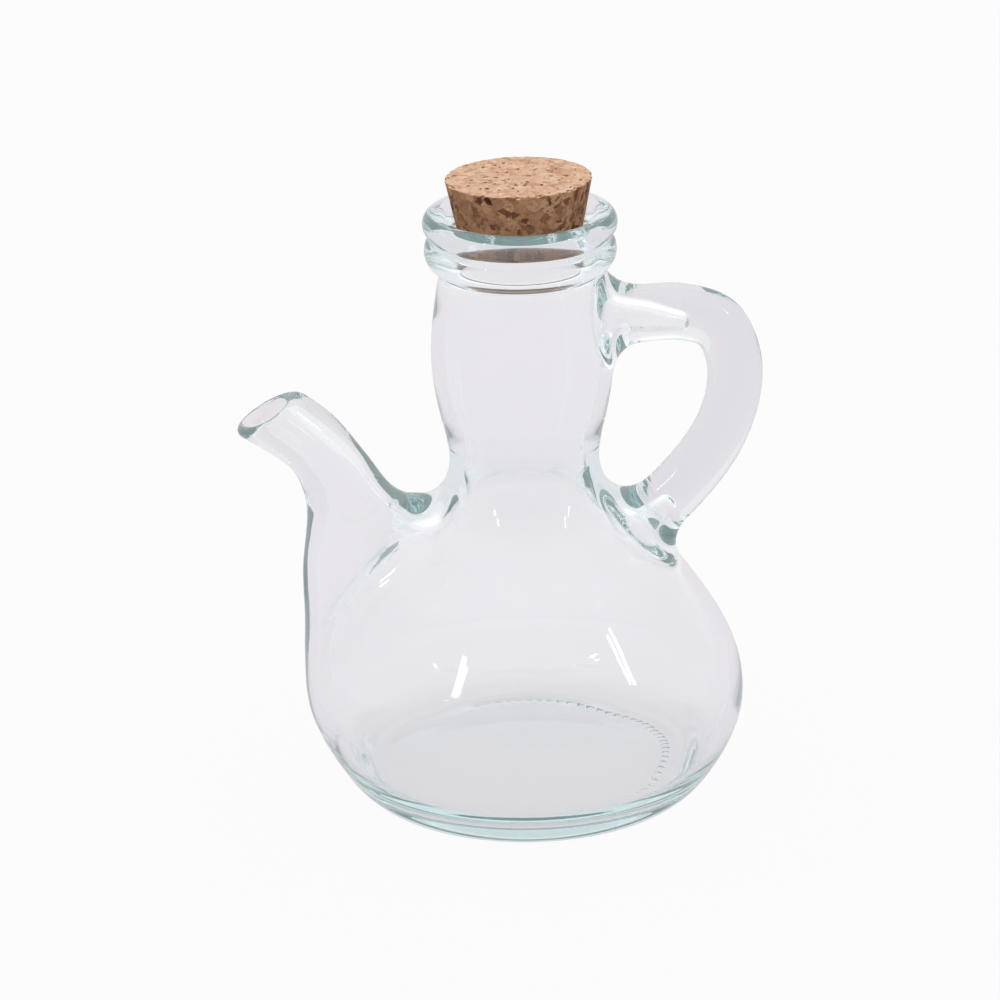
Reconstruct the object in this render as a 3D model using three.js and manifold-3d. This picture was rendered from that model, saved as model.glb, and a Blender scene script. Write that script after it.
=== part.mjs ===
// Glass oil cruet: a round-bellied pouring vessel with an integral spout and ear handle, and a
// tapered cork stopper. Millimetres, +Z up. The spout points along -X and the handle along +X, and
// the origin lies on the table below the middle of the whole outline.
import * as THREE from 'three';
import { mergeVertices } from 'three/addons/utils/BufferGeometryUtils.js';
import Module from 'manifold-3d';

// ---- driving dimensions -------------------------------------------------------------------
const BELLY_RADIUS = 60.7;
const BELLY_HEIGHT = 28;
const WAIST_RADIUS = 20.8;
const BULGE_RADIUS = 25.2;
const LIP_RADIUS = 26.7;
const LIP_TOP = 168.8;
const WALL = 3.6;
const FLOOR_TOP = 7;

const BEARING_INNER = 37.5;
const BEARING_OUTER = 42.5;
const PUSH_UP = 1.2;

const BORE_RADIUS = 16.7;
const BORE_BOTTOM = 153.5;
const SEAT_BOTTOM = 159.3;
const SEAT_TOP = 163.5;

const CORK_TOP = 178;
const CORK_TOP_RADIUS = 20.1;
const CORK_BOTTOM_RADIUS = 16.4;
const CORK_BOTTOM = 159.3;
const CORK_EDGE = 0.5;

const SPOUT_REACH = 80;
const SPOUT_WALL = 3.6;
const HANDLE_REACH = 67;
const HANDLE_HALF_DEPTH = 6.8;

const AXIS_X = (SPOUT_REACH - HANDLE_REACH) / 2;

const BODY_SIDES = 40;
const SPOUT_SIDES = 16;
const SPOUT_STEPS = 13;
const HANDLE_SIDES = 12;
const HANDLE_STEPS = 18;
const FINGER_SIDES = 8;
const CORK_SIDES = 32;

// ---- helpers ------------------------------------------------------------------------------
const wasm = await Module();
wasm.setup();

function toSolid(geometry) {
  const bare = geometry.clone();
  bare.deleteAttribute('normal');
  bare.deleteAttribute('uv');
  const merged = mergeVertices(bare, 1e-4);
  const mesh = new wasm.Mesh({
    numProp: 3,
    vertProperties: new Float32Array(merged.attributes.position.array),
    triVerts: new Uint32Array(merged.index.array),
  });
  return new wasm.Manifold(mesh);
}

function toGeometry(solid) {
  const mesh = solid.getMesh();
  const geometry = new THREE.BufferGeometry();
  geometry.setAttribute('position', new THREE.BufferAttribute(mesh.vertProperties, mesh.numProp));
  geometry.setIndex(new THREE.BufferAttribute(mesh.triVerts, 1));
  geometry.computeVertexNormals();
  return geometry;
}

// A profile of [radius, height] pairs, turned about the vertical axis.
function turned(profile, sides) {
  const points = profile.map(([radius, height]) => new THREE.Vector2(radius, height));
  const geometry = new THREE.LatheGeometry(points, sides);
  geometry.rotateX(Math.PI / 2);
  return toSolid(geometry);
}

// A smooth line through [x, z] pairs in the plane of the spout and the handle.
function planeCurve(pairs) {
  const points = pairs.map(([x, z]) => new THREE.Vector3(x, 0, z));
  return new THREE.CatmullRomCurve3(points, false, 'centripetal');
}

// A capped loft of oval sections. Each section spans from one edge curve to the other in the
// plane, and depth(t) is its half-width across the plane.
function loft(edgeA, edgeB, depth, steps, sides) {
  const positions = [];
  const index = [];
  const centres = [];
  for (let i = 0; i <= steps; i += 1) {
    const t = i / steps;
    const a = edgeA.getPoint(t);
    const b = edgeB.getPoint(t);
    const centre = a.clone().add(b).multiplyScalar(0.5);
    const half = a.clone().sub(b).multiplyScalar(0.5);
    centres.push(centre);
    for (let j = 0; j < sides; j += 1) {
      const angle = (2 * Math.PI * j) / sides;
      const point = centre.clone().addScaledVector(half, Math.cos(angle));
      positions.push(point.x, depth(t) * Math.sin(angle), point.z);
    }
  }
  for (let i = 0; i < steps; i += 1) {
    for (let j = 0; j < sides; j += 1) {
      const next = (j + 1) % sides;
      const [p, q] = [i * sides + j, i * sides + next];
      index.push(p, q, q + sides, p, q + sides, p + sides);
    }
  }
  const first = positions.length / 3;
  positions.push(...centres[0].toArray(), ...centres[steps].toArray());
  for (let j = 0; j < sides; j += 1) {
    const next = (j + 1) % sides;
    index.push(first, next, j);
    index.push(first + 1, steps * sides + j, steps * sides + next);
  }
  const geometry = new THREE.BufferGeometry();
  geometry.setAttribute('position', new THREE.Float32BufferAttribute(positions, 3));
  geometry.setIndex(index);
  const solid = toSolid(geometry);
  if (solid.volume() > 0) return solid;
  geometry.setIndex(index.map((_, k) => index[k - (k % 3) + (2 - (k % 3))]));
  return toSolid(geometry);
}

// A round bar along a centre line of [x, z] pairs, radius(t) thick, as a loft.
function bar(pairs, radius, steps, sides, depth = radius) {
  const middle = planeCurve(pairs);
  const edge = (side) => ({
    getPoint(t) {
      const across = middle.getTangent(t).cross(new THREE.Vector3(0, 1, 0));
      return middle.getPoint(t).addScaledVector(across, side * radius(t));
    },
  });
  return loft(edge(1), edge(-1), depth, steps, sides);
}

// ---- glass vessel -------------------------------------------------------------------------
function bellyAndNeck() {
  return turned([
    [0, PUSH_UP],
    [BEARING_INNER - PUSH_UP, PUSH_UP],
    [BEARING_INNER, 0],
    [BEARING_OUTER, 0],
    [46, 0.9],
    [50, 4.2],
    [54.3, 9.4],
    [57.6, 15],
    [60, 21.5],
    [BELLY_RADIUS, BELLY_HEIGHT],
    [59.6, 36],
    [56.4, 44],
    [50.2, 54],
    [42.9, 64],
    [34.1, 74],
    [27, 83],
    [22.4, 90],
    [WAIST_RADIUS, 97],
    [21.6, 104],
    [23.2, 111],
    [24.6, 119],
    [BULGE_RADIUS, 127],
    [24.4, 138],
    [22.5, 151.3],
    [24.3, 153.2],
    [26.2, 156.4],
    [26.2, 159.4],
    [25.3, 161.4],
    [26.4, 163.4],
    [LIP_RADIUS, 165.4],
    [25.8, 167.6],
    [23.6, LIP_TOP],
    [0, LIP_TOP],
  ], BODY_SIDES);
}

function hollowOfBelly() {
  const aboveLip = LIP_TOP + 3;
  return turned([
    [0, FLOOR_TOP],
    [44.5, FLOOR_TOP],
    [49.5, 10],
    [54, 16],
    [56.4, 22.5],
    [BELLY_RADIUS - WALL, BELLY_HEIGHT + 1],
    [56, 36],
    [52.9, 43],
    [46.8, 52.8],
    [39.3, 63],
    [30.5, 73],
    [23.6, 81],
    [18.9, 88.5],
    [WAIST_RADIUS - WALL, 96.5],
    [18, 104],
    [19.6, 111],
    [21, 119],
    [BULGE_RADIUS - WALL, 127],
    [20.9, 138],
    [19.4, 149.5],
    [BORE_RADIUS, BORE_BOTTOM],
    [BORE_RADIUS, SEAT_BOTTOM],
    [BORE_RADIUS + 0.8, SEAT_TOP],
    [20.8, 166.6],
    [21.6, 168],
    [23, aboveLip],
    [0, aboveLip],
  ], BODY_SIDES);
}

// The two edges of the spout in its plane, from deep inside the belly to the pouring lip.
const SPOUT_TOP_EDGE = [[-20, 40], [-21, 62], [-24, 79], [-29.5, 86.8], [-38.4, 91],
  [-44.2, 100.8], [-52.5, 112], [-61.2, 119.6]];
const SPOUT_UNDERSIDE = [[-50, 10], [-59.4, 25], [-62, 43], [-62.9, 66], [-61.2, 87],
  [-64.8, 97.6], [-71.6, 103.6], [-SPOUT_REACH, 109.4]];
const BORE_TOP_EDGE = [[-20, 40], [-21, 56], [-25, 71], [-33.4, 80.2], [-42, 89.8],
  [-47.8, 99], [-56.3, 109.6], [-66.2, 118.4]];
const BORE_UNDERSIDE = [[-46, 14], [-55.6, 26], [-58.4, 43], [-59.3, 66], [-57.4, 87.4],
  [-61.8, 99.4], [-69.2, 106.2], [-78.4, 112.4]];

// Half-width of the spout across its plane: broad at the belly, slim beyond the bend.
function spoutDepth(t) {
  const flare = Math.max(0, 1 - t / 0.6);
  return 9.4 + 15 * flare ** 1.3;
}

function spout() {
  return loft(planeCurve(SPOUT_TOP_EDGE), planeCurve(SPOUT_UNDERSIDE), spoutDepth,
    SPOUT_STEPS, SPOUT_SIDES);
}

function spoutBore() {
  return loft(planeCurve(BORE_TOP_EDGE), planeCurve(BORE_UNDERSIDE),
    (t) => spoutDepth(t) - SPOUT_WALL, SPOUT_STEPS, SPOUT_SIDES);
}

const HANDLE_LINE = [[18, 137.8], [33, 136.9], [44, 136.2], [53.6, 132.2], [58.9, 122.8],
  [58.8, 111.6], [55.6, 101.8], [50.8, 93.8], [44.2, 86], [36.8, 78.8], [29, 71.6]];

function handleRadius(t) {
  return 7.7 + 0.5 * Math.abs(2 * t - 1);
}

function handle() {
  return bar(HANDLE_LINE, handleRadius, HANDLE_STEPS, HANDLE_SIDES, () => HANDLE_HALF_DEPTH);
}

// Short air fingers run from the hollow into both roots of the handle.
function upperFinger() {
  return bar([[18, 137.6], [34, 136.4], [47.8, 134.8]], (t) => 4.3 - 1.6 * t, 4, FINGER_SIDES);
}

function lowerFinger() {
  return bar([[27, 69.5], [34, 75.4], [41, 81.4]], (t) => 4.4 - 2 * t, 3, FINGER_SIDES);
}

function glassVessel() {
  const outside = bellyAndNeck().add(spout()).add(handle());
  const hollow = hollowOfBelly().add(spoutBore()).add(upperFinger()).add(lowerFinger());
  const glass = new THREE.MeshStandardMaterial({
    color: 0xd8e4e2, roughness: 0.05, metalness: 0, transparent: true, opacity: 0.35,
  });
  const mesh = new THREE.Mesh(toGeometry(outside.subtract(hollow)), glass);
  mesh.name = 'glass_vessel';
  return mesh;
}

// ---- cork stopper -------------------------------------------------------------------------
function corkStopper() {
  const solid = turned([
    [0, CORK_BOTTOM],
    [CORK_BOTTOM_RADIUS - CORK_EDGE, CORK_BOTTOM],
    [CORK_BOTTOM_RADIUS, CORK_BOTTOM + CORK_EDGE],
    [CORK_TOP_RADIUS, CORK_TOP - CORK_EDGE],
    [CORK_TOP_RADIUS - CORK_EDGE, CORK_TOP],
    [0, CORK_TOP],
  ], CORK_SIDES);
  const cork = new THREE.MeshStandardMaterial({ color: 0xb98a62, roughness: 0.95, metalness: 0 });
  const mesh = new THREE.Mesh(toGeometry(solid), cork);
  mesh.name = 'cork_stopper';
  return mesh;
}

// ---- assembly -----------------------------------------------------------------------------
const cruet = new THREE.Group();
cruet.add(glassVessel(), corkStopper());
cruet.position.x = AXIS_X;

export default cruet;
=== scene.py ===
import math

import bmesh
import bpy
import numpy as np
from mathutils import Matrix, Vector, noise


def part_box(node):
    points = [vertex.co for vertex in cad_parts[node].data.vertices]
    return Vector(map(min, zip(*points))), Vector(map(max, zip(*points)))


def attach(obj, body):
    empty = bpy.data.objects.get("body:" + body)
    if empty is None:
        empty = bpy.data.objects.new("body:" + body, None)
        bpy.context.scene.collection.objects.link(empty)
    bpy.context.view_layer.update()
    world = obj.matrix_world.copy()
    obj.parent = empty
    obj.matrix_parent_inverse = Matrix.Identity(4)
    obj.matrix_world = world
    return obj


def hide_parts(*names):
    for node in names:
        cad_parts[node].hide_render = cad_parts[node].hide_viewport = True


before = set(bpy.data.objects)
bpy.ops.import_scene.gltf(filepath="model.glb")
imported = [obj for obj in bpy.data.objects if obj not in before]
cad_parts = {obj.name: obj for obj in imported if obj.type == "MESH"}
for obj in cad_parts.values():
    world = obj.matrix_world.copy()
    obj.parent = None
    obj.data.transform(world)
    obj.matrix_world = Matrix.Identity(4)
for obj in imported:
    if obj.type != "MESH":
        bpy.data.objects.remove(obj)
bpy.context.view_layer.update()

# ---- places and sizes, in millimetres from the vessel's own axis ------------------------------
MM = 0.001
CORK_LOW, CORK_HIGH = (np.array(corner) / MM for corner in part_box("cork_stopper"))
GLASS_LOW, GLASS_HIGH = (np.array(corner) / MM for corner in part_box("glass_vessel"))
AXIS_X = (CORK_LOW[0] + CORK_HIGH[0]) / 2
LIP_TOP = GLASS_HIGH[2]
BELLY_RADIUS = GLASS_HIGH[1]
SPOUT_REACH = AXIS_X - GLASS_LOW[0]

PUSH_UP = 0.45
FLOOR_TOP = 7.0
BEARING_INNER, BEARING_OUTER = 37.5, 42.5
CREST_RADIUS, CREST_TOP = 23.4, LIP_TOP + 0.35
ABOVE_MOUTH = LIP_TOP + 25

# The fine radial ridges that the vessel stands on, most worn opposite RIDGE_FRESH_SIDE.
RIDGES = 80
RIDGE_DEPTH = 0.3
RIDGE_SPAN = (38.4, 41.4)
RIDGE_RUN_OUT = 0.7
RIDGE_TOP = 1.5
RIDGE_FRESH_SIDE = math.radians(15)


# ---- camera -----------------------------------------------------------------------------------
def add_camera():
    """Stands 1.1 m off, half a metre up, a few degrees round towards the spout."""
    distance, height, turn = 1.1, 0.5105, math.radians(7)
    pitch, yaw, roll = math.radians(21.19), math.radians(-0.367), math.radians(-1.2575)
    data = bpy.data.cameras.new("camera")
    data.sensor_width = 36
    data.lens = 152.06
    data.clip_start, data.clip_end = 0.05, 50
    camera = bpy.data.objects.new("camera", data)
    bpy.context.collection.objects.link(camera)
    place = Vector((AXIS_X * MM - distance * math.sin(turn), -distance * math.cos(turn), height))
    aim = Matrix.Rotation(-(turn + yaw), 4, "Z") @ Matrix.Rotation(math.pi / 2 - pitch, 4, "X")
    camera.matrix_world = Matrix.Translation(place) @ aim @ Matrix.Rotation(roll, 4, "Z")
    bpy.context.scene.camera = camera


add_camera()


# ---- curves and distance fields ---------------------------------------------------------------
LINE_SPACING = 0.5
CHUNK = 4000


def smooth_line(points, stretch=0.0):
    """A centripetal Catmull-Rom line through the points, optionally stretched past its ends."""
    p = np.array(points, float)
    if stretch:
        first, last = p[0] - p[1], p[-1] - p[-2]
        first_end = p[0] + first * stretch / np.linalg.norm(first)
        last_end = p[-1] + last * stretch / np.linalg.norm(last)
        p = np.vstack([first_end, p, last_end])
    p = np.vstack([2 * p[0] - p[1], p, 2 * p[-1] - p[-2]])
    line = []
    for a, b, c, d in zip(p, p[1:], p[2:], p[3:]):
        k = np.cumsum([0, *(max(np.linalg.norm(v), 1e-6) ** 0.5 for v in (b - a, c - b, d - c))])
        steps = max(2, int(np.linalg.norm(c - b) / LINE_SPACING))
        t = np.linspace(k[1], k[2], steps, endpoint=False)[:, None]
        ab = ((k[1] - t) * a + (t - k[0]) * b) / (k[1] - k[0])
        bc = ((k[2] - t) * b + (t - k[1]) * c) / (k[2] - k[1])
        cd = ((k[3] - t) * c + (t - k[2]) * d) / (k[3] - k[2])
        abc = ((k[2] - t) * ab + (t - k[0]) * bc) / (k[2] - k[0])
        bcd = ((k[3] - t) * bc + (t - k[1]) * cd) / (k[3] - k[1])
        line.append(((k[2] - t) * abc + (t - k[1]) * bcd) / (k[2] - k[1]))
    return np.vstack([*line, p[-2][None]])


def even(line, count):
    """The same line as evenly spaced points."""
    along = np.concatenate([[0], np.cumsum(np.linalg.norm(np.diff(line, axis=0), axis=1))])
    at = np.linspace(0, along[-1], count)
    return np.stack([np.interp(at, along, line[:, i]) for i in range(line.shape[1])], -1)


class Table:
    """Values on a square grid, read back with bicubic interpolation."""

    def __init__(self, low, high, step, function):
        self.low, self.step = np.array(low, float), step
        axes = [np.arange(low[i] - 2 * step, high[i] + 2.5 * step, step) for i in (0, 1)]
        u, v = np.meshgrid(*axes, indexing="ij")
        self.values = function(u.ravel(), v.ravel()).reshape(u.shape)

    def __call__(self, u, v):
        place, weights = [], []
        for value, low, size in zip((u, v), self.low, self.values.shape):
            at = np.clip((value - low) / self.step + 2, 1, size - 2.001)
            base = at.astype(int)
            f = at - base
            place.append(base)
            weights.append((f * (-0.5 + f - 0.5 * f * f), 1 + f * f * (1.5 * f - 2.5),
                            f * (0.5 + 2 * f - 1.5 * f * f), f * f * (0.5 * f - 0.5)))
        result = 0
        for i in range(4):
            for j in range(4):
                corner = self.values[place[0] + i - 1, place[1] + j - 1]
                result = result + weights[0][i] * weights[1][j] * corner
        return result


def outline_distance(outline, u, v):
    """Signed distance to an outline that starts and ends on the axis, negative inside it."""
    p = np.array(outline, float)
    a, ab = p[:-1], np.diff(p, axis=0)
    length2 = np.maximum((ab ** 2).sum(1), 1e-12)
    loop = np.roll(p, -1, axis=0)
    rise = np.where(loop[:, 1] == p[:, 1], 1e-12, loop[:, 1] - p[:, 1])
    out = np.empty(len(u))
    for start in range(0, len(u), CHUNK):
        q = np.stack([np.abs(u[start:start + CHUNK]), v[start:start + CHUNK]], -1)[:, None]
        t = np.clip(((q - a) * ab).sum(-1) / length2, 0, 1)
        away = q - a - t[..., None] * ab
        nearest = np.sqrt((away ** 2).sum(-1).min(1))
        straddles = (p[:, 1] > q[..., 1]) != (loop[:, 1] > q[..., 1])
        crossing = p[:, 0] + (q[..., 1] - p[:, 1]) * (loop[:, 0] - p[:, 0]) / rise
        inside = (straddles & (q[..., 0] < crossing)).sum(1) % 2 == 1
        out[start:start + CHUNK] = np.where(inside, -nearest, nearest)
    return out


def turned_field(profile):
    """The field of a profile turned about the axis, kept as a table over radius and height."""
    return Table((0, -6), (88, ABOVE_MOUTH), 0.5, lambda r, z: outline_distance(profile, r, z))


class Loft:
    """The field of a tube of oval sections, each spanning from one edge line to the other.

    It is zero on the tube, negative inside it and close to the distance near it. Three tables over
    the plane of the edges say where a place lies across its section, and how large that section is.
    """
    SECTIONS = 260
    STRETCH = 12

    def __init__(self, edge_a, edge_b, depth, low, high):
        count = self.SECTIONS
        lines = [even(smooth_line(edge, self.STRETCH), count) for edge in (edge_a, edge_b)]
        middle, half = (lines[0] + lines[1]) / 2, (lines[0] - lines[1]) / 2
        size = np.linalg.norm(half, axis=1)
        along = half / size[:, None]
        across = np.stack([-along[:, 1], along[:, 0]], -1)
        depths = np.array([depth(t) for t in np.linspace(0, 1, count)])
        found = {}

        def locate(x, z):
            """The section that each place lies in, as a fractional index."""
            rows = []
            for start in range(0, len(x), CHUNK):
                p = np.stack([x[start:start + CHUNK], z[start:start + CHUNK]], -1)[:, None] - middle
                off = (p * across).sum(-1)
                wide = np.abs((p * along).sum(-1)) / size
                best = np.argmin(np.abs(off) + 3 * np.maximum(wide - 1.6, 0) * size, axis=1)
                best = np.clip(best, 1, count - 2)
                pick = np.arange(len(best))
                slope = (off[pick, best + 1] - off[pick, best - 1]) / 2
                shift = np.clip(-off[pick, best] / np.where(np.abs(slope) < 1e-6, 1e-6, slope), -1, 1)
                rows.append(best + shift)
            return np.concatenate(rows)

        def fill(x, z):
            """How far across its section each place lies, from -1 to 1 between the edges."""
            at = locate(x, z)
            index = np.arange(count)
            centre = np.stack([np.interp(at, index, middle[:, i]) for i in (0, 1)], -1)
            chord = np.stack([np.interp(at, index, half[:, i]) for i in (0, 1)], -1)
            found["size"] = np.linalg.norm(chord, axis=1)
            found["depth"] = np.interp(at, index, depths)
            return (((np.stack([x, z], -1) - centre) * chord).sum(1)) / found["size"] ** 2

        self.span = Table(low, high, 0.8, fill)
        shape = self.span.values.shape
        self.size = self.copy_table(found["size"].reshape(shape))
        self.depth = self.copy_table(found["depth"].reshape(shape))

    def copy_table(self, values):
        twin = Table.__new__(Table)
        twin.low, twin.step, twin.values = self.span.low, self.span.step, values
        return twin

    def __call__(self, x, y, z):
        q, a, b = self.span(x, z), self.size(x, z), self.depth(x, z)
        g = np.sqrt(q * q + (y / b) ** 2)
        return g * (g - 1) / np.maximum(np.sqrt((q / a) ** 2 + (y / (b * b)) ** 2), 1e-4)


def bar_field(line, radii, x, y, z, flat=1.0):
    """Distance to a bar along a line of (x, z) points; flat scales its depth along y."""
    count, chunk = 90, 20000
    middle = even(smooth_line(line), count)
    radius = np.interp(np.linspace(0, 1, count), np.linspace(0, 1, len(radii)), radii)
    a, ab = middle[:-1], np.diff(middle, axis=0)
    out = np.empty(len(x))
    for start in range(0, len(x), chunk):
        p = np.stack([x[start:start + chunk], z[start:start + chunk]], -1)[:, None]
        t = np.clip(((p - a) * ab).sum(-1) / (ab ** 2).sum(1), 0, 1)
        flat_off = ((p - a - t[..., None] * ab) ** 2).sum(-1)
        best = flat_off.argmin(1)
        pick = np.arange(len(best))
        thick = radius[best] + t[pick, best] * (radius[best + 1] - radius[best])
        u = np.sqrt(flat_off[pick, best])
        v = np.abs(y[start:start + chunk])
        wide = thick * flat
        g = np.sqrt((u / thick) ** 2 + (v / wide) ** 2)
        grade = np.sqrt((u / thick ** 2) ** 2 + (v / wide ** 2) ** 2)
        out[start:start + chunk] = g * (g - 1) / np.maximum(grade, 1e-4)
    return out


def join(a, b, k):
    """The union of two fields with a fillet about k wide."""
    h = np.maximum(k - np.abs(a - b), 0) / k
    return np.minimum(a, b) - h * h * k / 4


def cut(a, b, k):
    """What both fields hold, with the edge between them rounded."""
    return -join(-a, -b, k)


# ---- glass vessel -----------------------------------------------------------------------------
# Profiles turned about the axis, as (radius, height).
OUTSIDE = [
    (0, PUSH_UP), (16, 0.42), (28, 0.28), (BEARING_INNER, 0.04), (40, 0), (BEARING_OUTER, 0), (44.9, 0.2),
    (47.3, 0.95), (50.6, 3.8), (54.4, 9.1), (57.6, 15), (60, 21.5), (BELLY_RADIUS, 28), (59.6, 36),
    (56.6, 44), (50.7, 54), (43.6, 64), (34.8, 74), (27.2, 83), (22.4, 90), (20.8, 97), (21.6, 104),
    (23.2, 111), (24.6, 119), (25.2, 127), (24.6, 137), (23.3, 146), (22.5, 151.2), (22.8, 152.3),
    (24.3, 153.1), (25.5, 154.4), (26.2, 156.2), (26.35, 157.8), (26, 159.6), (25.1, 160.9), (25, 161.6),
    (25.7, 162.6), (26.5, 164), (26.7, 165.4), (26.2, 167.1), (25, 168.4), (CREST_RADIUS, CREST_TOP)]
INSIDE = [
    (0, FLOOR_TOP), (20, FLOOR_TOP - 0.2), (38, FLOOR_TOP), (43.5, FLOOR_TOP + 0.3), (47, 8.3),
    (50.8, 11.2), (54, 16), (56.4, 22.5), (57.1, 29), (56, 36), (53.1, 43), (47.2, 52.8), (39.6, 63),
    (29.5, 73), (21.2, 81), (17.1, 88.5), (16.4, 96.5), (17.5, 104), (19.4, 111), (21, 119), (21.6, 127),
    (20.9, 138), (20, 145.6), (18.9, 150.2), (17.4, 152.6), (16.75, 154.4), (16.7, 157), (16.75, 159.3),
    (17.1, 161.5), (17.7, 163.2), (18.5, 164.8), (19.6, 166.4), (21.2, 167.9), (CREST_RADIUS, CREST_TOP)]

# Lines in the upright plane of the spout and the handle, as (x, z).
SPOUT_TOP_EDGE = [
    (-20, 40), (-21, 62), (-24, 79), (-29, 86.2), (-33.6, 88.2), (-37.6, 91.2), (-44.2, 100.8),
    (-52.5, 112), (-61.2, 119.6)]
SPOUT_UNDERSIDE = [
    (-50, 10), (-59.4, 25), (-62, 43), (-62.9, 66), (-61.2, 87), (-64.8, 97.6), (-71.6, 103.6),
    (-SPOUT_REACH, 109.4)]
BORE_TOP_EDGE = [
    (-20, 40), (-21, 56), (-25, 71), (-33.4, 80.2), (-42, 89.8), (-47.8, 99), (-56.8, 109.2),
    (-66.8, 117.9)]
BORE_UNDERSIDE = [
    (-46, 14), (-55.6, 26), (-58.4, 43), (-59.3, 66), (-56.4, 87.8), (-61.6, 99.6), (-68.8, 106.6),
    (-77.8, 112.9)]
HANDLE_LINE = [
    (18, 137.8), (33, 137), (44.3, 136.7), (54.2, 132.9), (59, 122.8), (58.8, 111.6), (55.6, 101.8),
    (50.8, 93.8), (44.2, 86), (36.8, 78.8), (29, 71.6)]
HANDLE_RADII = (8.2, 8.0, 7.7, 7.7, 8.0, 8.4)
HANDLE_FLATNESS = 0.87

# Air fingers that run from the hollow into the handle's two roots.
UPPER_FINGER = [(18, 137.6), (34, 136.4), (44.4, 134.9)]
UPPER_FINGER_RADII = (4.4, 3.8, 3.3, 2.1)
LOWER_FINGER = [(27, 69.5), (34, 75.4), (40, 80.6)]
LOWER_FINGER_RADII = (4.4, 3.4, 2.4)

# Fillets: the spout's ease from one height to the next, outside and inside.
SPOUT_FILLET_HEIGHTS = (20, 45, 65, 80)
SPOUT_FILLETS = (8, 13, 12, 10)
BORE_FILLETS = (8, 13, 15, 14)
HANDLE_FILLET = 10
FINGER_FILLET = 7
LIP_PROUD = 0.7
LIP_ROUNDING = 2.8
EDGE_ROUNDING = 2.2
SPOUT_WALL = 3.6
PROFILE_POINTS = 420

# Regions as (x range, half-width in y, z range): where the spout and the handle can be felt, and
# the saddle of the spout and the handle's upper and lower roots, which are meshed more finely.
SPOUT_REGION = ((-200, -8), 36, (4, 138))
HANDLE_REGION = ((10, 200), 16, (50, 156))
JUNCTIONS = [((-44, -19), 13, (74, 95)), ((19, 34), 13, (124, 149)), ((24, 42), 13, (64, 88))]


def spout_depth(t, wall=0.0):
    """Half-width of the spout across its plane, from the belly (t = 0) to the lip (t = 1)."""
    flare = max(0.0, 1 - t / 0.62)
    return 9.4 + 15 * flare ** 1.3 - wall


def build_fields():
    """Fields of the body's outside and hollow, and of the spout's outside and bore."""
    low, high = (-95, -6), (0, 140)
    outside = turned_field([*even(smooth_line(OUTSIDE), PROFILE_POINTS), (0, CREST_TOP)])
    column = [(CREST_RADIUS, ABOVE_MOUTH + 20), (0, ABOVE_MOUTH + 20)]
    inside = turned_field([*even(smooth_line(INSIDE), PROFILE_POINTS), *column])
    spout = Loft(SPOUT_TOP_EDGE, SPOUT_UNDERSIDE, spout_depth, low, high)
    bore = Loft(BORE_TOP_EDGE, BORE_UNDERSIDE, lambda t: spout_depth(t, SPOUT_WALL), low, high)
    return outside, inside, spout, bore


OUTSIDE_FIELD, INSIDE_FIELD, SPOUT_FIELD, BORE_FIELD = build_fields()


def mouth_plane(x, z):
    """Distance past the plane of the spout's pouring lip."""
    a, b = np.array(SPOUT_TOP_EDGE[-1]), np.array(SPOUT_UNDERSIDE[-1])
    along = (a - b) / np.linalg.norm(a - b)
    return (x - a[0]) * -along[1] + (z - a[1]) * along[0]


def root_plane(x, z, edge_a, edge_b):
    """Distance past the plane where a spout line starts, deep in the belly."""
    a, b = np.array(edge_a[0]), np.array(edge_b[0])
    along = (a - b) / np.linalg.norm(a - b)
    return (x - a[0]) * along[1] - (z - a[1]) * along[0]


def within(region, x, y, z):
    (x_low, x_high), half_width, (z_low, z_high) = region
    return (x > x_low) & (x < x_high) & (np.abs(y) < half_width) & (z > z_low) & (z < z_high)


def join_spout(solid, hollow, x, y, z):
    """The body's two fields with the spout and its bore run into them."""
    lip = mouth_plane(x, z)
    spout = cut(SPOUT_FIELD(x, y, z), lip - LIP_PROUD, LIP_ROUNDING)
    spout = np.maximum(spout, root_plane(x, z, SPOUT_TOP_EDGE, SPOUT_UNDERSIDE))
    bore = np.maximum(BORE_FIELD(x, y, z), root_plane(x, z, BORE_TOP_EDGE, BORE_UNDERSIDE))
    return (join(solid, spout, np.interp(z, SPOUT_FILLET_HEIGHTS, SPOUT_FILLETS)),
            join(hollow, bore, np.interp(z, SPOUT_FILLET_HEIGHTS, BORE_FILLETS)))


def join_handle(solid, hollow, x, y, z):
    """The body's two fields with the handle and its air fingers run into them."""
    handle = bar_field(HANDLE_LINE, HANDLE_RADII, x, y, z, HANDLE_FLATNESS)
    upper = bar_field(UPPER_FINGER, UPPER_FINGER_RADII, x, y, z)
    lower = bar_field(LOWER_FINGER, LOWER_FINGER_RADII, x, y, z)
    return (join(solid, handle, HANDLE_FILLET),
            join(hollow, np.minimum(upper, lower), FINGER_FILLET))


def glass_field(x, y, z, turned=None):
    """Negative inside the glass. The points are flat arrays in millimetres from the axis.

    Where the body's own two fields are known already, turned holds them.
    """
    r = np.hypot(x, y)
    solid, hollow = turned if turned else (OUTSIDE_FIELD(r, z), INSIDE_FIELD(r, z))
    solid, hollow = solid.copy(), hollow.copy()
    for region, joined in ((SPOUT_REGION, join_spout), (HANDLE_REGION, join_handle)):
        near = within(region, x, y, z)
        solid[near], hollow[near] = joined(solid[near], hollow[near], x[near], y[near], z[near])
    return cut(solid, -hollow, EDGE_ROUNDING)


def levels(stops):
    """Grid levels from (place, spacing) stops, the spacing easing from stop to stop."""
    places, spacings = zip(*stops)
    at = [places[0]]
    while at[-1] < places[-1]:
        at.append(at[-1] + np.interp(at[-1], places, spacings))
    return np.array(at)


def closed_levels(stops):
    """Angles round the full turn, spaced by stops and fitted to close on themselves."""
    at = levels(stops)
    return np.radians((at[:-1] - at[0]) * 360 / (at[-1] - at[0]) + stops[0][0])


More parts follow.
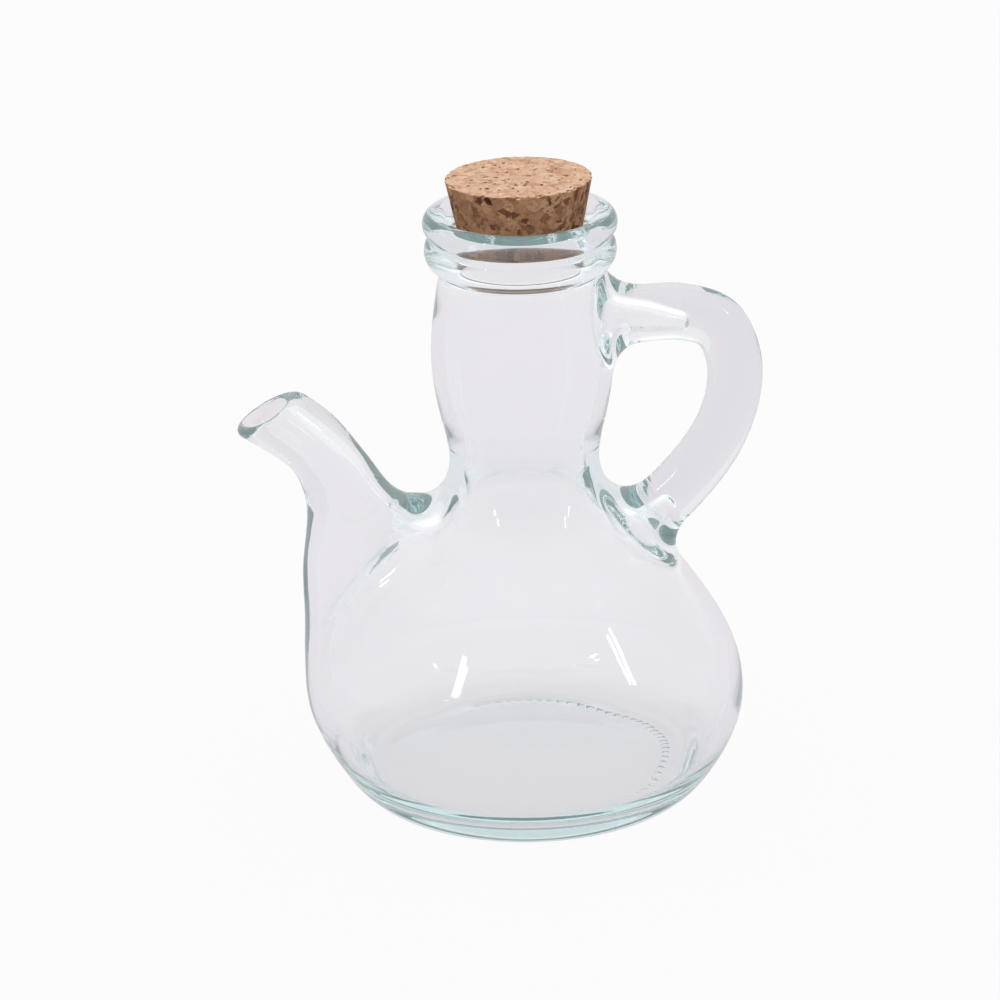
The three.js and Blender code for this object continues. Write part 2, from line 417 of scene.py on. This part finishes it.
CELL_CORNERS = [(i, j, k) for i in (0, 1) for j in (0, 1) for k in (0, 1)]


def surface_cells(inside, around):
    """The grid cells that the surface runs through, and the number of each, or -1 elsewhere."""
    nr, nz = inside.shape[0], inside.shape[2]
    count = np.zeros((nr - 1, around, nz - 1), int)
    for i, j, k in CELL_CORNERS:
        count += inside[i:nr - 1 + i, j:around + j, k:nz - 1 + k]
    cells = np.argwhere((count > 0) & (count < 8))
    number = np.full(count.shape, -1)
    number[tuple(cells.T)] = np.arange(len(cells))
    return cells, number


def crossings_middle(field, cells):
    """The middle of the places where the surface crosses each cell's edges, 0 to 1 per axis."""
    value = {c: field[tuple((cells + c).T)] for c in CELL_CORNERS}
    total, hits = np.zeros((len(cells), 3)), np.zeros(len(cells))
    for axis in range(3):
        for c in CELL_CORNERS:
            if c[axis]:
                continue
            d = tuple(c[i] + (i == axis) for i in range(3))
            va, vb = value[c], value[d]
            crossing = (va < 0) != (vb < 0)
            t = np.where(crossing, va / np.where(va == vb, 1, va - vb), 0)
            point = np.array([np.broadcast_to(c[i], len(cells)) for i in range(3)], float)
            point[axis] = t
            total += np.where(crossing, point, 0).T
            hits += crossing
    return total / hits[:, None]


def net_faces(inside, number, around):
    """A quad across each grid edge that the surface crosses, and a fan where it meets the axis."""
    core = inside[:, :around]
    inner = slice(1, -1)
    # For each direction: the edges' two ends, and the four cells that meet at such an edge.
    directions = [
        (core[:-1, :, inner], core[1:, :, inner], (0, 0, 1),
         [(0, -1, -1), (0, -1, 0), (0, 0, 0), (0, 0, -1)]),
        (core[inner, :, inner], inside[:, 1:][inner, :, inner], (1, 0, 1),
         [(-1, 0, -1), (0, 0, -1), (0, 0, 0), (-1, 0, 0)]),
        (core[inner, :, :-1], core[inner, :, 1:], (1, 0, 0),
         [(-1, -1, 0), (-1, 0, 0), (0, 0, 0), (0, -1, 0)])]
    quads = []
    for low, high, first, corners in directions:
        for flip in (False, True):
            pick = np.argwhere(low & ~high if flip else ~low & high) + first
            ring = [number[pick[:, 0] + di, (pick[:, 1] + dj) % around, pick[:, 2] + dk]
                    for di, dj, dk in corners]
            quads.append(np.stack(ring[::-1] if flip else ring, -1))
    faces = [tuple(quad) for quad in np.vstack(quads).tolist()]
    for k in np.flatnonzero(core[0, 0, :-1] != core[0, 0, 1:]):
        fan = number[0, :, k].tolist()
        faces.append(tuple(fan if core[0, 0, k] else fan[::-1]))
    return faces


def net_mesh(field_grid, radii, angles, heights):
    """A closed mesh of the zero surface of a field on a cylindrical grid, by surface nets."""
    around = len(angles)
    wrapped = np.concatenate([field_grid, field_grid[:, :1]], axis=1)
    inside = wrapped < 0
    cells, number = surface_cells(inside, around)
    share = crossings_middle(wrapped, cells)
    turn = np.append(angles, angles[0] + 2 * np.pi)
    i, j, k = cells.T
    r = radii[i] + share[:, 0] * (radii[i + 1] - radii[i])
    angle = turn[j] + share[:, 1] * (turn[j + 1] - turn[j])
    z = heights[k] + share[:, 2] * (heights[k + 1] - heights[k])
    points = np.stack([r * np.cos(angle), r * np.sin(angle), z], -1)
    return points, net_faces(inside, number, around)


def slopes(field, points, reach):
    """The differences of a field across each point, reach millimetres either way along each axis."""
    return np.stack([field(points + h) - field(points - h) for h in np.eye(3) * reach], -1)


def settle(points, faces, rounds=3):
    """Draws the points onto the surface, evening them out before every round but the first."""
    reach = 0.05
    quad = np.array([f for f in faces if len(f) == 4])
    pairs = np.vstack([quad[:, [i, (i + 1) % 4]] for i in range(4)])
    for turn in range(rounds):
        if turn:
            total = np.zeros_like(points)
            count = np.zeros(len(points))
            np.add.at(total, pairs[:, 0], points[pairs[:, 1]])
            np.add.at(count, pairs[:, 0], 1)
            moved = np.where(count[:, None] > 2, total / np.maximum(count, 1)[:, None], points)
            points = points + 0.5 * (moved - points)
        for _ in range(2):
            value = glass_field(*points.T)
            grade = slopes(lambda at: glass_field(*at.T), points, reach) / (2 * reach)
            points = points - (value / np.maximum((grade ** 2).sum(1), 0.05))[:, None] * grade
    return points


# The grid that the glass is meshed on, as (place, spacing) stops: finest at the lip and its rings.
RADIUS_STOPS = [
    (0, 3.5), (12, 2.5), (15, 0.6), (28, 0.6), (32, 1.8), (36, 1.2), (44, 1.2), (50, 1.8), (84, 1.8)]
HEIGHT_STOPS = [
    (-1.2, 0.7), (3, 0.8), (12, 1.8), (30, 2.8), (60, 2.2), (70, 1.9), (140, 1.9), (149, 0.65),
    (153, 0.48), (170, 0.48)]
ANGLE_STOPS = [
    (0, 1.6), (12, 1.6), (30, 2.9), (60, 4.0), (115, 3.8), (145, 2.05), (166, 1.4), (180, 1.4)]


def glass_points():
    """The glass as a closed mesh: points, and the faces between them."""
    radii, heights = levels(RADIUS_STOPS), levels(HEIGHT_STOPS)
    mirrored = [(-angle, step) for angle, step in ANGLE_STOPS[:0:-1]]
    angles = closed_levels(mirrored + ANGLE_STOPS)
    r, a, z = np.meshgrid(radii, angles, heights, indexing="ij")
    flat_r, flat_z = (m.ravel() for m in np.meshgrid(radii, heights, indexing="ij"))
    turned = []
    for field in (OUTSIDE_FIELD, INSIDE_FIELD):
        plane = field(flat_r, flat_z).reshape(len(radii), 1, len(heights))
        turned.append(np.broadcast_to(plane, r.shape).ravel())
    x, y = r * np.cos(a), r * np.sin(a)
    values = glass_field(x.ravel(), y.ravel(), z.ravel(), turned)
    return net_mesh(values.reshape(r.shape), radii, angles, heights)


def refined(points, faces, chosen, cuts):
    """Splits the faces between the chosen points into finer ones."""
    bm = bmesh.new()
    verts = [bm.verts.new(p) for p in points]
    for face in faces:
        bm.faces.new([verts[i] for i in face])
    inside = {verts[i] for i in np.flatnonzero(chosen)}
    edges = [e for e in bm.edges if e.verts[0] in inside and e.verts[1] in inside]
    bmesh.ops.subdivide_edges(bm, edges=edges, cuts=cuts, use_grid_fill=True)
    bm.verts.index_update()
    points = np.array([v.co[:] for v in bm.verts])
    faces = [tuple(v.index for v in f.verts) for f in bm.faces]
    bm.free()
    return points, faces


def at_junctions(points):
    """The glass where the spout and the two ends of the handle run into the body."""
    return np.any([within(region, *points.T) for region in JUNCTIONS], axis=0)


def at_spout_lip(points):
    """The rounded rim of the spout's mouth; x and z keep the test on the spout's upper end."""
    rim = 3.2
    x, _, z = points.T
    return (x < -55) & (z > 100) & (mouth_plane(x, z) > -rim)


def at_bearing_ring(points):
    """The flat ring that the vessel stands on."""
    x, y, z = points.T
    r, margin = np.hypot(x, y), 0.8
    return (z < RIDGE_TOP) & (r > RIDGE_SPAN[0] - margin) & (r < RIDGE_SPAN[1] + margin)


def ridge_lift(x, y, z):
    """How far the glass is lifted between the radial ridges it stands on."""
    r, angle = np.hypot(x, y), np.arctan2(y, x)
    low, high = RIDGE_SPAN
    rise = np.clip((r - low) / RIDGE_RUN_OUT, 0, 1)
    fall = np.clip((high - r) / RIDGE_RUN_OUT, 0, 1)
    valley = 0.5 - 0.5 * np.cos(RIDGES * angle)
    unworn = np.clip(0.1 + np.cos(angle - RIDGE_FRESH_SIDE), 0.03, 1)
    return RIDGE_DEPTH * rise * fall * (z < RIDGE_TOP) * valley * unworn


def outward(points):
    """The direction straight out of the glass at points on its finished surface."""
    def carved(at):
        x, y, z = at.T
        return glass_field(x, y, z - ridge_lift(x, y, z))

    grade = slopes(carved, points, 0.04)
    return grade / np.maximum(np.linalg.norm(grade, axis=1), 1e-9)[:, None]


def add_mesh(name, points, faces, materials):
    """A smooth mesh object from points in millimetres from the axis."""
    mesh = bpy.data.meshes.new(name)
    mesh.from_pydata(((points + (AXIS_X, 0, 0)) * MM).tolist(), [], faces)
    mesh.validate()
    for material in materials:
        mesh.materials.append(material)
    mesh.shade_smooth()
    thing = bpy.data.objects.new(name, mesh)
    bpy.context.collection.objects.link(thing)
    return thing


def glass_vessel(material):
    """The whole glass as one closed mesh, shaded by the field's own directions."""
    points, faces = glass_points()
    points = settle(points, faces)
    for choose, cuts in ((at_junctions, 1), (at_spout_lip, 2), (at_bearing_ring, 2)):
        points, faces = refined(points, faces, choose(points), cuts)
    points = settle(points, faces, rounds=1)
    points[:, 2] += ridge_lift(*points.T)
    vessel = add_mesh("glass_cruet", points, faces, [material])
    vessel.data.normals_split_custom_set_from_vertices(outward(points).tolist())
    return vessel


# ---- cork stopper -----------------------------------------------------------------------------
CORK_LOW_Z, CORK_TOP_Z = CORK_LOW[2] + 0.6, CORK_HIGH[2]
CORK_TOP_RADIUS, CORK_BOTTOM_RADIUS = CORK_HIGH[1], 16.4
CORK_COLUMNS = 240
CORK_TILT = (math.radians(-0.6), math.radians(-0.5))
CORK_PIVOT = Vector((0, 0, 162))

# The cork's patterns: scales in waves per millimetre, depths in millimetres.
GRANULE_SCALE, CREASE_DEPTH, CREASE_WIDTH = 0.42, 0.22, 0.16
CREASE_PATCH_SCALE = 0.35
PIT_SCALE, PIT_DEPTH, PIT_START = 0.9, 2.2, 0.34
GRAIN_SCALE, GRAIN_DEPTH = 2.1, 0.05
CHIP_SCALE, CHIP_DEPTH = 0.55, 0.9


def cork_section():
    """(radius, height, worn edge 0..1) from the middle of the bottom round to the middle of the top."""
    rows = [(r, CORK_LOW_Z, 0) for r in np.linspace(0.5, CORK_BOTTOM_RADIUS - 0.5, 26)]
    rows += [(CORK_BOTTOM_RADIUS - 0.15, CORK_LOW_Z + 0.15, 0.5)]
    for t in np.linspace(0.03, 0.96, 38):
        radius = CORK_BOTTOM_RADIUS + t * (CORK_TOP_RADIUS - CORK_BOTTOM_RADIUS)
        rows.append((radius, CORK_LOW_Z + t * (CORK_TOP_Z - CORK_LOW_Z), 0))
    rows += [(CORK_TOP_RADIUS - 0.02, CORK_TOP_Z - 0.45, 0.6),
             (CORK_TOP_RADIUS - 0.12, CORK_TOP_Z - 0.2, 1),
             (CORK_TOP_RADIUS - 0.35, CORK_TOP_Z - 0.04, 1)]
    rows += [(r, CORK_TOP_Z, 0) for r in np.linspace(CORK_TOP_RADIUS - 0.8, 0.5, 34)]
    return rows


def cork_pits(place):
    """How far the cork is eaten away at a place, in millimetres."""
    near, _ = noise.voronoi(place * GRANULE_SCALE)
    crease = max(0.0, CREASE_WIDTH - (near[1] - near[0])) / CREASE_WIDTH
    patch = max(0.0, noise.noise(place * CREASE_PATCH_SCALE + Vector((7, 3, 1))) + 0.15)
    pit = max(0.0, noise.noise(place * PIT_SCALE + Vector((1, 8, 5))) - PIT_START)
    grain = noise.noise(place * GRAIN_SCALE)
    return CREASE_DEPTH * crease * patch + PIT_DEPTH * pit + GRAIN_DEPTH * grain


def cork_point(r, z, worn, angle):
    """One point of the cork's skin, eaten away by its pits and by the chips of a worn edge."""
    place = Vector((r * math.cos(angle), r * math.sin(angle), z))
    chip = max(0.0, noise.noise(place * CHIP_SCALE + Vector((2, 2, 9)))) * CHIP_DEPTH * worn
    if z == CORK_TOP_Z:
        inward = Vector((0, 0, -1))
    elif z == CORK_LOW_Z:
        inward = Vector((0, 0, 1))
    else:
        inward = Vector((-place.x / r, -place.y / r, 0))
    place += inward * cork_pits(place)
    place -= Vector((place.x, place.y, 0)) * chip / r
    place.z -= chip * 0.6 * (z > CORK_LOW_Z + 5)
    return place


def cork_faces(row_count, columns):
    """Quads between the rows, closed by a fan at the bottom and another at the top."""
    faces = []
    bottom = row_count * columns
    last = bottom - columns
    for j in range(columns):
        k = (j + 1) % columns
        for start in range(0, last, columns):
            faces.append((start + j, start + k, start + columns + k, start + columns + j))
        faces.append((bottom, k, j))
        faces.append((bottom + 1, last + j, last + k))
    return faces


def cork_stopper(side, top):
    """The cork as one closed mesh with one material round its side and another on its top; the side's
    tones are darker, painted shade.
    """
    rows = cork_section()
    angles = np.linspace(0, 2 * math.pi, CORK_COLUMNS, endpoint=False)
    points = [cork_point(*row, angle) for row in rows for angle in angles]
    points += [Vector((0, 0, CORK_LOW_Z)), Vector((0, 0, CORK_TOP_Z))]
    turn = Matrix.Rotation(CORK_TILT[0], 3, "X") @ Matrix.Rotation(CORK_TILT[1], 3, "Y")
    placed = np.array([(turn @ (p - CORK_PIVOT) + CORK_PIVOT)[:] for p in points])
    thing = add_mesh("cork_plug", placed, cork_faces(len(rows), CORK_COLUMNS), [side, top])
    # Faces facing up get the lighter top cork, all others the darker side cork: painted shade on the
    # side.
    for face in thing.data.polygons:
        face.material_index = 1 if face.normal.z > 0.75 else 0
    return thing


# ---- materials --------------------------------------------------------------------------------
def new_material(name):
    material = bpy.data.materials.new(name)
    material.use_nodes = True
    nodes = material.node_tree.nodes
    return material, nodes, material.node_tree.links, nodes["Principled BSDF"]


def glass_material():
    """Clear glass, tinted teal with depth.

    Its very faint glow is painted light: the glass glows teal by itself, lifting its darkest shade.
    Without it, light led along the wall ends up black where the photo shows a soft teal.
    """
    material, nodes, links, shader = new_material("clear_glass")
    shader.inputs["Base Color"].default_value = (1, 1, 1, 1)
    shader.inputs["Roughness"].default_value = 0.0
    shader.inputs["IOR"].default_value = 1.5
    shader.inputs["Transmission Weight"].default_value = 1.0
    # Painted light: a faint teal glow of the glass itself, which lifts its shade.
    shader.inputs["Emission Color"].default_value = (0.86, 1, 1, 1)
    shader.inputs["Emission Strength"].default_value = 0.024
    material.cycles.emission_sampling = "NONE"
    tint = nodes.new("ShaderNodeVolumeAbsorption")
    tint.inputs["Color"].default_value = (0.2, 0.52, 0.52, 1)
    tint.inputs["Density"].default_value = 6.5
    links.new(tint.outputs["Volume"], nodes["Material Output"].inputs["Volume"])
    return material


def ramp(nodes, links, value, stops):
    """A colour ramp over a value, from (place, colour) stops."""
    node = nodes.new("ShaderNodeValToRGB")
    while len(node.color_ramp.elements) < len(stops):
        node.color_ramp.elements.new(0.5)
    for element, (place, colour) in zip(node.color_ramp.elements, stops):
        element.position = place
        element.color = (*colour, 1)
    links.new(value, node.inputs[0])
    return node.outputs[0]


def blend_colours(nodes, links, kind, amount, a, b):
    node = nodes.new("ShaderNodeMix")
    node.data_type = "RGBA"
    node.blend_type = kind
    node.inputs[0].default_value = amount
    links.new(a, node.inputs[6])
    links.new(b, node.inputs[7])
    return node.outputs[2]


def warped_place(nodes, links):
    """Places on the piece, bent a little so that no pattern keeps straight edges."""
    place = nodes.new("ShaderNodeTexCoord").outputs["Object"]
    warp = nodes.new("ShaderNodeTexNoise")
    links.new(place, warp.inputs["Vector"])
    warp.inputs["Scale"].default_value = 300.0
    warp.inputs["Detail"].default_value = 3.0
    bend = nodes.new("ShaderNodeVectorMath")
    bend.operation = "MULTIPLY_ADD"
    bend.inputs[1].default_value = (0.004, 0.004, 0.003)
    links.new(warp.outputs["Color"], bend.inputs[0])
    links.new(place, bend.inputs[2])
    return bend.outputs[0]


def cork_material(name, tones, crease_tone, fleck_scale, fleck_start):
    """Pressed cork: granules in four tones, darker creases between them, and dark flecks."""
    material, nodes, links, shader = new_material(name)
    place = warped_place(nodes, links)

    def texture(kind, scale, **settings):
        node = nodes.new(kind)
        links.new(place, node.inputs["Vector"])
        node.inputs["Scale"].default_value = scale
        for key, value in settings.items():
            node.inputs[key].default_value = value
        return node

    granule_scale = 480.0
    granules = texture("ShaderNodeTexVoronoi", granule_scale)
    split = nodes.new("ShaderNodeSeparateColor")
    links.new(granules.outputs["Color"], split.inputs[0])
    base = ramp(nodes, links, split.outputs[0], list(zip((0.0, 0.35, 0.7, 1.0), tones)))
    grain = texture("ShaderNodeTexNoise", 900.0, Detail=5.0, Roughness=0.65)
    mottle = ramp(nodes, links, grain.outputs[0], [(0.32, (0.72, 0.66, 0.6)), (0.6, (1, 1, 1))])
    base = blend_colours(nodes, links, "MULTIPLY", 0.75, base, mottle)
    edges = texture("ShaderNodeTexVoronoi", granule_scale)
    edges.feature = "DISTANCE_TO_EDGE"
    crease = ramp(nodes, links, edges.outputs["Distance"], [(0.0, crease_tone), (0.05, (1, 1, 1))])
    base = blend_colours(nodes, links, "MULTIPLY", 0.35, base, crease)
    flecks = texture("ShaderNodeTexNoise", fleck_scale, Detail=3.0, Roughness=0.6)
    fleck_stops = [(fleck_start, (1, 1, 1)), (fleck_start + 0.06, (0.3, 0.2, 0.14))]
    dark = ramp(nodes, links, flecks.outputs[0], fleck_stops)
    base = blend_colours(nodes, links, "MULTIPLY", 0.9, base, dark)
    links.new(base, shader.inputs["Base Color"])
    shader.inputs["Roughness"].default_value = 0.9
    shader.inputs["Specular IOR Level"].default_value = 0.25
    bump = nodes.new("ShaderNodeBump")
    bump.inputs["Strength"].default_value = 0.35
    bump.inputs["Distance"].default_value = 0.0004
    links.new(grain.outputs[0], bump.inputs["Height"])
    links.new(bump.outputs[0], shader.inputs["Normal"])
    return material


def floor_material():
    """Pale grey with a glow of its own, lifted to near white where the camera sees it bare."""
    material, nodes, links, shader = new_material("pale_floor")
    shader.inputs["Base Color"].default_value = (0.22, 0.214, 0.224, 1)
    shader.inputs["Emission Color"].default_value = (0.98, 0.92, 0.955, 1)
    shader.inputs["Emission Strength"].default_value = 0.515
    shader.inputs["Roughness"].default_value = 0.7
    shader.inputs["Specular IOR Level"].default_value = 0.1
    lift_to_white(nodes, links, shader.outputs[0], nodes["Material Output"].inputs["Surface"])
    return material


def lift_to_white(nodes, links, surface, output):
    """Mixes the surface nine tenths of the way to white for rays straight from the camera."""
    white = nodes.new("ShaderNodeEmission")
    white.inputs["Color"].default_value = (1, 1, 1, 1)
    seen = nodes.new("ShaderNodeMath")
    seen.operation = "MULTIPLY"
    seen.inputs[1].default_value = 0.9
    links.new(nodes.new("ShaderNodeLightPath").outputs["Is Camera Ray"], seen.inputs[0])
    mix = nodes.new("ShaderNodeMixShader")
    links.new(seen.outputs[0], mix.inputs[0])
    links.new(surface, mix.inputs[1])
    links.new(white.outputs[0], mix.inputs[2])
    links.new(mix.outputs[0], output)


# ---- floor and light --------------------------------------------------------------------------
def add_floor():
    """A wide floor, a hair below the vessel so that the two never touch."""
    bpy.ops.mesh.primitive_plane_add(size=60, location=(0, 0, -0.0003))
    floor = bpy.context.object
    floor.name = "floor"
    floor.data.materials.append(floor_material())


def add_world():
    """A pale room, greyer towards the camera and brightest overhead."""
    world = bpy.data.worlds.new("studio")
    world.use_nodes = True
    bpy.context.scene.world = world
    nodes, links = world.node_tree.nodes, world.node_tree.links
    direction = nodes.new("ShaderNodeTexCoord").outputs["Generated"]
    split = nodes.new("ShaderNodeSeparateXYZ")
    links.new(direction, split.inputs[0])
    halve = nodes.new("ShaderNodeMath")
    halve.operation = "MULTIPLY_ADD"
    halve.inputs[1].default_value, halve.inputs[2].default_value = 0.5, 0.5
    links.new(split.outputs["Y"], halve.inputs[0])
    depth = ramp(nodes, links, halve.outputs[0], [(0.0, (0.66, 0.65, 0.67)), (0.5, (0.84, 0.82, 0.84))])
    zenith = ramp(nodes, links, split.outputs["Z"], [(0.35, (0, 0, 0)), (1.0, (0.5, 0.5, 0.5))])
    sky = blend_colours(nodes, links, "ADD", 1.0, depth, zenith)
    links.new(sky, nodes["Background"].inputs["Color"])
    nodes["Background"].inputs["Strength"].default_value = 1.0


def add_panel(name, place, width, height, power):
    """A soft light panel at a place in metres, facing the middle of the vessel."""
    data = bpy.data.lights.new(name, "AREA")
    data.shape = "RECTANGLE"
    data.size, data.size_y = width, height
    data.energy = power
    panel = bpy.data.objects.new(name, data)
    bpy.context.collection.objects.link(panel)
    panel.location = place
    aim = Vector((0, 0, 0.08)) - Vector(place)
    panel.rotation_euler = aim.to_track_quat("-Z", "Y").to_euler()


def add_lights():
    """Two tall windows, which leave the streaks on the belly and the shoulder."""
    add_panel("left_window", (-1.1, -0.85, 1.0), 0.09, 0.3, 0.6)
    add_panel("right_window", (1.05, -0.65, 0.85), 0.045, 0.36, 0.4)


# ---- putting it together ----------------------------------------------------------------------
def set_up_rendering():
    """Plain colours, and enough bounces for light led along the glass."""
    scene = bpy.context.scene
    scene.view_settings.view_transform = "Standard"
    scene.cycles.max_bounces = 40
    scene.cycles.transmission_bounces = 40
    scene.cycles.glossy_bounces = 12


vessel = glass_vessel(glass_material())
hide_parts("glass_vessel")
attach(vessel, "vessel")

# One pressed cork in two tones: lighter on the top, darker round the side as painted shade.
CORK_LIT_TOP_TONES = ((0.56, 0.32, 0.19), (0.72, 0.46, 0.3), (0.77, 0.52, 0.36), (0.82, 0.59, 0.42))
CORK_SHADED_SIDE_TONES = ((0.15, 0.07, 0.035), (0.36, 0.19, 0.1), (0.42, 0.23, 0.12), (0.5, 0.3, 0.17))
plug = cork_stopper(cork_material("cork_shaded_side", CORK_SHADED_SIDE_TONES, (0.25, 0.17, 0.12), 240.0, 0.58),
                    cork_material("cork_lit_top", CORK_LIT_TOP_TONES, (0.45, 0.33, 0.24), 300.0, 0.64))
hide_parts("cork_stopper")
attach(plug, "stopper")

add_floor()
add_world()
add_lights()
set_up_rendering()
